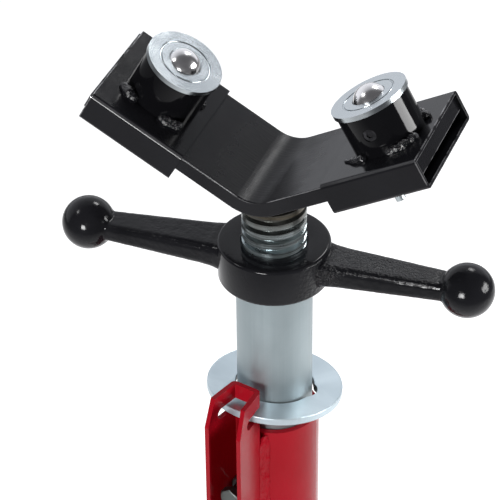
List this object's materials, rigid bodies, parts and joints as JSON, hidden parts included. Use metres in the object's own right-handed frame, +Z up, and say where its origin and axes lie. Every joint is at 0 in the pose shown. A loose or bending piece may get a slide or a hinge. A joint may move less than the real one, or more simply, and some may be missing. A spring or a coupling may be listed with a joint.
{
  "type": "pipe stand",
  "caption": "Height-adjustable pipe stand: folding tripod, sliding post held by a tilting lock ring, and a handwheel nut that lifts a screw with a vee head carrying ball rests.",
  "frame": {"origin": "on the floor, under the axis of the post, in the middle of the tripod's footprint", "axes": "+Z up along the post; +X along the vee head, from one ball unit to the other; +Y along the pipe"},
  "size_m": [0.554, 0.5413, 0.8893],
  "materials": {
    "red_paint": "glossy red enamel on steel tube and sheet",
    "black_coat": "glossy black powder coat",
    "black_casting": "black enamel on a rough casting",
    "zinc_plate": "bright zinc plate",
    "screw_zinc": "bright zinc plate with a dull, slightly yellowed thread",
    "cap_zinc": "satin zinc plate, turned",
    "dark_steel": "dark hardened steel",
    "polished_ball": "mirror-polished steel",
    "foot_rubber": "matt black rubber",
    "black_plastic": "black moulded plastic",
    "guide_plastic": "natural nylon"
  },
  "bodies": {
    "base": {"outer_tube": "red_paint", "tube_end_cap": "black_plastic", "ring_keeper": "red_paint", "keeper_welds": "red_paint", "clamp_nut": "zinc_plate", "leg_bracket_front": "red_paint", "leg_bracket_right": "red_paint", "leg_bracket_rear": "red_paint", "leg_pivot_bolts": "zinc_plate", "leg_pivot_nuts": "zinc_plate"},
    "clamp_screw": {"clamp_screw": "zinc_plate"},
    "lock_ring": {"lock_ring": "zinc_plate"},
    "post_guide": {"post_guide_plug": "guide_plastic"},
    "post": {"post_tube": "zinc_plate", "thrust_washer": "zinc_plate"},
    "handwheel": {"handwheel": "black_casting"},
    "head": {"lift_screw": "screw_zinc", "v_bar": "black_coat"},
    "sleeve_left": {"sleeve_left": "black_coat", "sleeve_nut_left": "black_coat", "ball_cup_left": "black_coat", "cup_grub_screw_left": "dark_steel", "ball_seat_left": "dark_steel", "bearing_balls_left": "polished_ball", "ball_cap_left": "cap_zinc"},
    "sleeve_screw_left": {"sleeve_screw_left": "zinc_plate"},
    "load_ball_left": {"load_ball_left": "polished_ball"},
    "sleeve_right": {"sleeve_right": "black_coat", "sleeve_nut_right": "black_coat", "ball_cup_right": "black_coat", "cup_grub_screw_right": "dark_steel", "ball_seat_right": "dark_steel", "bearing_balls_right": "polished_ball", "ball_cap_right": "cap_zinc"},
    "sleeve_screw_right": {"sleeve_screw_right": "zinc_plate"},
    "load_ball_right": {"load_ball_right": "polished_ball"},
    "leg_front": {"leg_front": "red_paint", "leg_foot_front": "foot_rubber", "knee_bolt_front": "zinc_plate"},
    "brace_front": {"brace_front_near": "red_paint", "brace_front_far": "red_paint", "collar_bolt_front": "zinc_plate"},
    "leg_right": {"leg_right": "red_paint", "leg_foot_right": "foot_rubber", "knee_bolt_right": "zinc_plate"},
    "brace_right": {"brace_right_near": "red_paint", "brace_right_far": "red_paint", "collar_bolt_right": "zinc_plate"},
    "leg_rear": {"leg_rear": "red_paint", "leg_foot_rear": "foot_rubber", "knee_bolt_rear": "zinc_plate"},
    "brace_rear": {"brace_rear_near": "red_paint", "brace_rear_far": "red_paint", "collar_bolt_rear": "zinc_plate"},
    "collar": {"collar": "red_paint"},
    "collar_screw": {"collar_screw": "zinc_plate"}
  },
  "joints": [
    {"name": "clamp_screw_turn", "type": "hinge", "parent": "base", "child": "clamp_screw", "pos_m": [0, 0, 0.5876], "axis": [-0.2164, -0.9763, 0], "range_deg": [0, 720]},
    {"name": "ring_release", "type": "hinge", "parent": "base", "child": "lock_ring", "pos_m": [-0.0071, -0.03202, 0.647], "axis": [0.9763, -0.2164, 0], "range_deg": [0, 7.5]},
    {"name": "post_slide", "type": "slide", "parent": "base", "child": "post_guide", "axis": [0, 0, 1], "range_m": [-0.05, 0.4]},
    {"name": "post_swivel", "type": "hinge", "parent": "post_guide", "child": "post", "pos_m": [0, 0, 0.12], "axis": [0, 0, 1], "continuous": true},
    {"name": "handwheel_turn", "type": "hinge", "parent": "post", "child": "handwheel", "pos_m": [0, 0, 0.748], "axis": [0, 0, 1], "range_deg": [-3600, 1800]},
    {"name": "head_lift", "type": "slide", "parent": "post", "child": "head", "axis": [0, 0, 1], "range_m": [-0.0351, 0.0701]},
    {"name": "sleeve_slide_left", "type": "slide", "parent": "head", "child": "sleeve_left", "axis": [-0.8755, 0, 0.4833], "range_m": [-0.022, 0.03]},
    {"name": "sleeve_screw_turn_left", "type": "hinge", "parent": "sleeve_left", "child": "sleeve_screw_left", "pos_m": [-0.08167, 0.019, 0.83174], "axis": [-0.4833, 0, -0.8755], "range_deg": [0, 720]},
    {"name": "load_ball_roll_left", "type": "hinge", "parent": "sleeve_left", "child": "load_ball_left", "pos_m": [-0.05769, 0, 0.87208], "axis": [0, 1, 0], "continuous": true},
    {"name": "sleeve_slide_right", "type": "slide", "parent": "head", "child": "sleeve_right", "axis": [0.8755, 0, 0.4833], "range_m": [-0.022, 0.03]},
    {"name": "sleeve_screw_turn_right", "type": "hinge", "parent": "sleeve_right", "child": "sleeve_screw_right", "pos_m": [0.08167, -0.019, 0.83174], "axis": [0.4833, 0, -0.8755], "range_deg": [0, 720]},
    {"name": "load_ball_roll_right", "type": "hinge", "parent": "sleeve_right", "child": "load_ball_right", "pos_m": [0.06049, 0, 0.87362], "axis": [0, 1, 0], "continuous": true},
    {"name": "leg_fold_front", "type": "hinge", "parent": "base", "child": "leg_front", "pos_m": [-0.01125, -0.05077, 0.47], "axis": [0.9763, -0.2164, 0], "range_deg": [0, 23]},
    {"name": "brace_fold_front", "type": "hinge", "parent": "leg_front", "child": "brace_front", "pos_m": [-0.03158, -0.14244, 0.29341], "axis": [0.9763, -0.2164, 0], "range_deg": [-46, 0]},
    {"name": "leg_fold_right", "type": "hinge", "parent": "base", "child": "leg_right", "pos_m": [0.04959, 0.01564, 0.47], "axis": [-0.3007, 0.9537, 0], "range_deg": [0, 23]},
    {"name": "brace_fold_right", "type": "hinge", "parent": "leg_right", "child": "brace_right", "pos_m": [0.13914, 0.04387, 0.29341], "axis": [-0.3007, 0.9537, 0], "range_deg": [-46, 0]},
    {"name": "leg_fold_rear", "type": "hinge", "parent": "base", "child": "leg_rear", "pos_m": [-0.03834, 0.03513, 0.47], "axis": [-0.6756, -0.7373, 0], "range_deg": [0, 23]},
    {"name": "brace_fold_rear", "type": "hinge", "parent": "leg_rear", "child": "brace_rear", "pos_m": [-0.10756, 0.09856, 0.29341], "axis": [-0.6756, -0.7373, 0], "range_deg": [-46, 0]},
    {"name": "collar_slide", "type": "slide", "parent": "base", "child": "collar", "axis": [0, 0, 1], "range_m": [-0.0455, 0]},
    {"name": "collar_screw_turn", "type": "hinge", "parent": "collar", "child": "collar_screw", "pos_m": [0, 0, 0.11682], "axis": [0.7373, -0.6756, 0], "range_deg": [0, 720]}
  ],
  "couplings": [
    {"joint": "head_lift", "follows": "handwheel_turn", "m_per_rad": -0.0011141},
    {"joint": "brace_fold_front", "follows": "leg_fold_front", "ratio": -2},
    {"joint": "leg_fold_right", "follows": "leg_fold_front", "ratio": 1},
    {"joint": "brace_fold_right", "follows": "leg_fold_front", "ratio": -2},
    {"joint": "leg_fold_rear", "follows": "leg_fold_front", "ratio": 1},
    {"joint": "brace_fold_rear", "follows": "leg_fold_front", "ratio": -2},
    {"joint": "collar_slide", "follows": "leg_fold_front", "m_per_rad": -0.11285}
  ]
}
